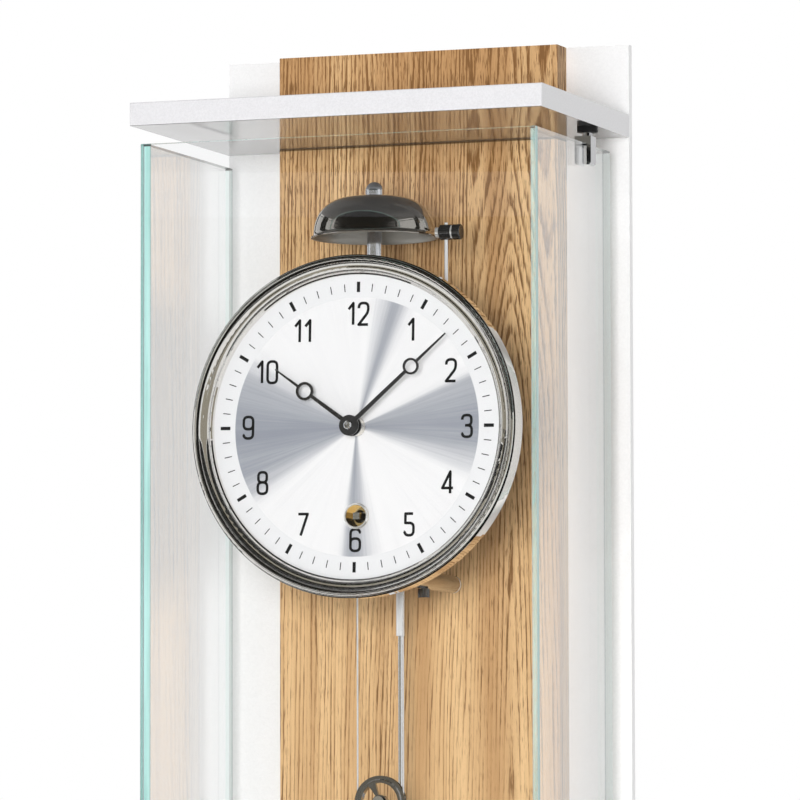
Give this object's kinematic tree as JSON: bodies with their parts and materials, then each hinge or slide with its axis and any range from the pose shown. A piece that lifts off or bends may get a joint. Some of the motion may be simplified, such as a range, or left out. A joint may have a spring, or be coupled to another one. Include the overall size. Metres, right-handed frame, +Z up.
{
  "type": "wall clock",
  "caption": "Modern regulator wall clock: oak board on a silver panel, hinged glass case, round dial head with bell, weight drive and pendulum.",
  "frame": {"origin": "centre of the hanging hole on the wall plane", "axes": "+X to the right seen from the front, +Y towards the wall, +Z up; the dial faces -Y"},
  "size_m": [0.28, 0.18, 1.1],
  "materials": {
    "silver": "satin silver with a fine grain",
    "oak": "oiled oak, straight grain upright",
    "clear_glass": "clear polished, green at the edges",
    "bright_chrome": "polished",
    "nickel": "polished nickel",
    "steel": "satin",
    "brass": "satin",
    "dial_silver": "sunray silver with a white hour ring",
    "black": "matt black",
    "blackened": "satin black",
    "gunmetal": "dark satin"
  },
  "bodies": {
    "case": {"back_panel": "silver", "oak_board": "oak", "upper_shelf": "silver", "lower_shelf": "silver", "hanger_plate": "steel", "hinge_bushes": "black", "dial_pan": "nickel", "bezel": "nickel", "dial": "dial_silver", "winding_grommet": "nickel", "standoff_pillars": "nickel", "pillar_screws": "steel", "thumbscrews": "nickel", "front_plate": "brass", "back_plate": "brass", "plate_posts": "brass", "plate_nuts": "steel", "movement_feet": "brass", "bell": "nickel", "bell_post": "nickel", "bell_finial": "nickel", "suspension_cock": "brass", "cable": "steel"},
    "glass_door": {"front_glass": "clear_glass", "left_glass": "clear_glass", "right_glass": "clear_glass", "hinge_clamps": "bright_chrome", "hinge_pins": "steel"},
    "minute_hand_set": {"cannon_pinion": "brass", "minute_hand": "blackened", "hand_nut": "nickel"},
    "hour_hand_set": {"hour_wheel": "brass", "hour_hand": "blackened"},
    "minute_wheel_set": {"minute_wheel": "brass"},
    "third_set": {"third_wheel": "brass", "third_arbor": "steel"},
    "centre_set": {"centre_wheel": "brass", "centre_arbor": "steel"},
    "intermediate_set": {"intermediate_wheel": "brass", "intermediate_arbor": "steel"},
    "escape_set": {"escape_wheel": "brass", "escape_arbor": "steel"},
    "great_set": {"great_wheel": "brass", "click": "steel"},
    "barrel_set": {"barrel": "brass", "winding_arbor": "steel", "cable_winding": "steel"},
    "weight_set": {"weight": "nickel", "pulley_stirrup": "nickel"},
    "pulley_set": {"pulley": "gunmetal"},
    "pendulum_set": {"suspension_spring": "steel", "pendulum_sleeve": "nickel", "pendulum_rod": "steel", "pendulum_bob": "nickel", "rating_nut": "nickel"},
    "anchor_set": {"anchor": "steel", "crutch": "steel"},
    "hammer_set": {"hammer_rod": "steel", "hammer_arbor": "steel", "hammer_head": "nickel"}
  },
  "joints": [
    {"name": "door", "type": "hinge", "parent": "case", "child": "glass_door", "pos_m": [0.133, -0.07, -0.524], "axis": [0, 0, 1], "range_deg": [0, 100]},
    {"name": "minute_hand", "type": "hinge", "parent": "case", "child": "minute_hand_set", "pos_m": [0, -0.13, -0.23], "axis": [0, 1, 0], "continuous": true},
    {"name": "hour_hand", "type": "hinge", "parent": "case", "child": "hour_hand_set", "pos_m": [0, -0.13, -0.23], "axis": [0, 1, 0], "continuous": true},
    {"name": "minute_wheel", "type": "hinge", "parent": "case", "child": "minute_wheel_set", "pos_m": [-0.0144, -0.123, -0.23], "axis": [0, 1, 0], "continuous": true},
    {"name": "third_wheel", "type": "hinge", "parent": "case", "child": "third_set", "pos_m": [-0.011, -0.095, -0.21095], "axis": [0, 1, 0], "continuous": true},
    {"name": "centre_wheel", "type": "hinge", "parent": "case", "child": "centre_set", "pos_m": [0, -0.095, -0.23], "axis": [0, 1, 0], "continuous": true},
    {"name": "escape_wheel", "type": "hinge", "parent": "case", "child": "escape_set", "pos_m": [0, -0.095, -0.19614], "axis": [0, 1, 0], "continuous": true},
    {"name": "intermediate_wheel", "type": "hinge", "parent": "case", "child": "intermediate_set", "pos_m": [0.0061, -0.095, -0.25408], "axis": [0, 1, 0], "continuous": true},
    {"name": "great_wheel", "type": "hinge", "parent": "case", "child": "great_set", "pos_m": [0, -0.089, -0.287], "axis": [0, 1, 0], "continuous": true},
    {"name": "weight", "type": "slide", "parent": "case", "child": "weight_set", "axis": [0, 0, 1], "range_m": [-0.27, 0.095], "deforming": ["cable"]},
    {"name": "barrel", "type": "hinge", "parent": "case", "child": "barrel_set", "pos_m": [0, -0.102, -0.287], "axis": [0, 1, 0], "range_deg": [-690, 1940]},
    {"name": "pulley", "type": "hinge", "parent": "weight_set", "child": "pulley_set", "pos_m": [0.0006, -0.098, -0.4684], "axis": [0, 1, 0], "range_deg": [-360, 1010]},
    {"name": "pendulum", "type": "hinge", "parent": "case", "child": "pendulum_set", "pos_m": [0, -0.059, -0.172], "axis": [0, 1, 0], "range_deg": [-2.5, 2.5]},
    {"name": "anchor", "type": "hinge", "parent": "case", "child": "anchor_set", "pos_m": [0, -0.09, -0.172], "axis": [0, 1, 0], "range_deg": [-2.5, 2.5]},
    {"name": "hammer", "type": "hinge", "parent": "case", "child": "hammer_set", "pos_m": [0.038, -0.1055, -0.166], "axis": [0, 1, 0], "range_deg": [-1, 12], "stiffness_Nm_per_rad": 0.3}
  ],
  "couplings": [
    {"joint": "hour_hand", "follows": "minute_hand", "ratio": 0.083333},
    {"joint": "minute_wheel", "follows": "minute_hand", "ratio": -0.33333},
    {"joint": "centre_wheel", "follows": "third_wheel", "ratio": -0.1},
    {"joint": "escape_wheel", "follows": "third_wheel", "ratio": -7.2},
    {"joint": "intermediate_wheel", "follows": "third_wheel", "ratio": 0.027778},
    {"joint": "great_wheel", "follows": "third_wheel", "ratio": -0.0034722},
    {"joint": "barrel", "follows": "weight", "rad_per_m": -123.46},
    {"joint": "pulley", "follows": "weight", "rad_per_m": -64.103},
    {"joint": "anchor", "follows": "pendulum", "ratio": 1}
  ]
}
